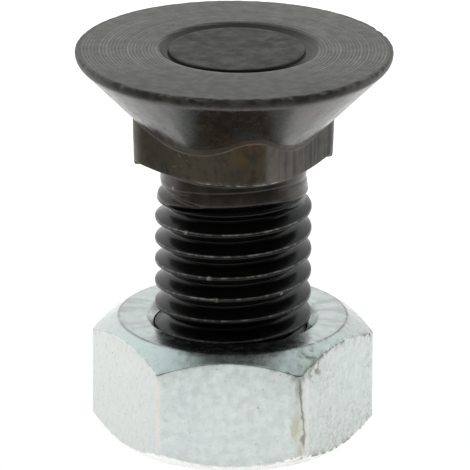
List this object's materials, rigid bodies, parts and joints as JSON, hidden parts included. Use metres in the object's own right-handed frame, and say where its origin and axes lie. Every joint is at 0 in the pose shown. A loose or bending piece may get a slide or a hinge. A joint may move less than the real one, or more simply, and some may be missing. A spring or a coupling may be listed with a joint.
{
  "type": "plow bolt",
  "caption": "Flat countersunk plow bolt with a square neck and a coarse thread, standing on its chamfered hexagon nut; it clamps plow shares and wear plates with a flush face.",
  "frame": {"origin": "centre of the nut's underside, which the part stands on", "axes": "+Z along the bolt's axis from the nut up to the head, -Y out of one flat of the nut, towards the viewer of the picture"},
  "size_m": [0.028, 0.028, 0.0358],
  "materials": {
    "black_steel": "black oxide over forged and turned steel, satin, with worn thread crests and faint brown tints",
    "zinc_steel": "bright bluish zinc plate, fine mottling, grey and brown dirt along the edges"
  },
  "bodies": {
    "bolt": {"plow_bolt": "black_steel"},
    "nut": {"hex_nut": "zinc_steel"}
  },
  "joints": [
    {"name": "nut_travel", "type": "slide", "parent": "bolt", "child": "nut", "axis": [0, 0, 1], "range_m": [-0.012, 0.01]}
  ]
}
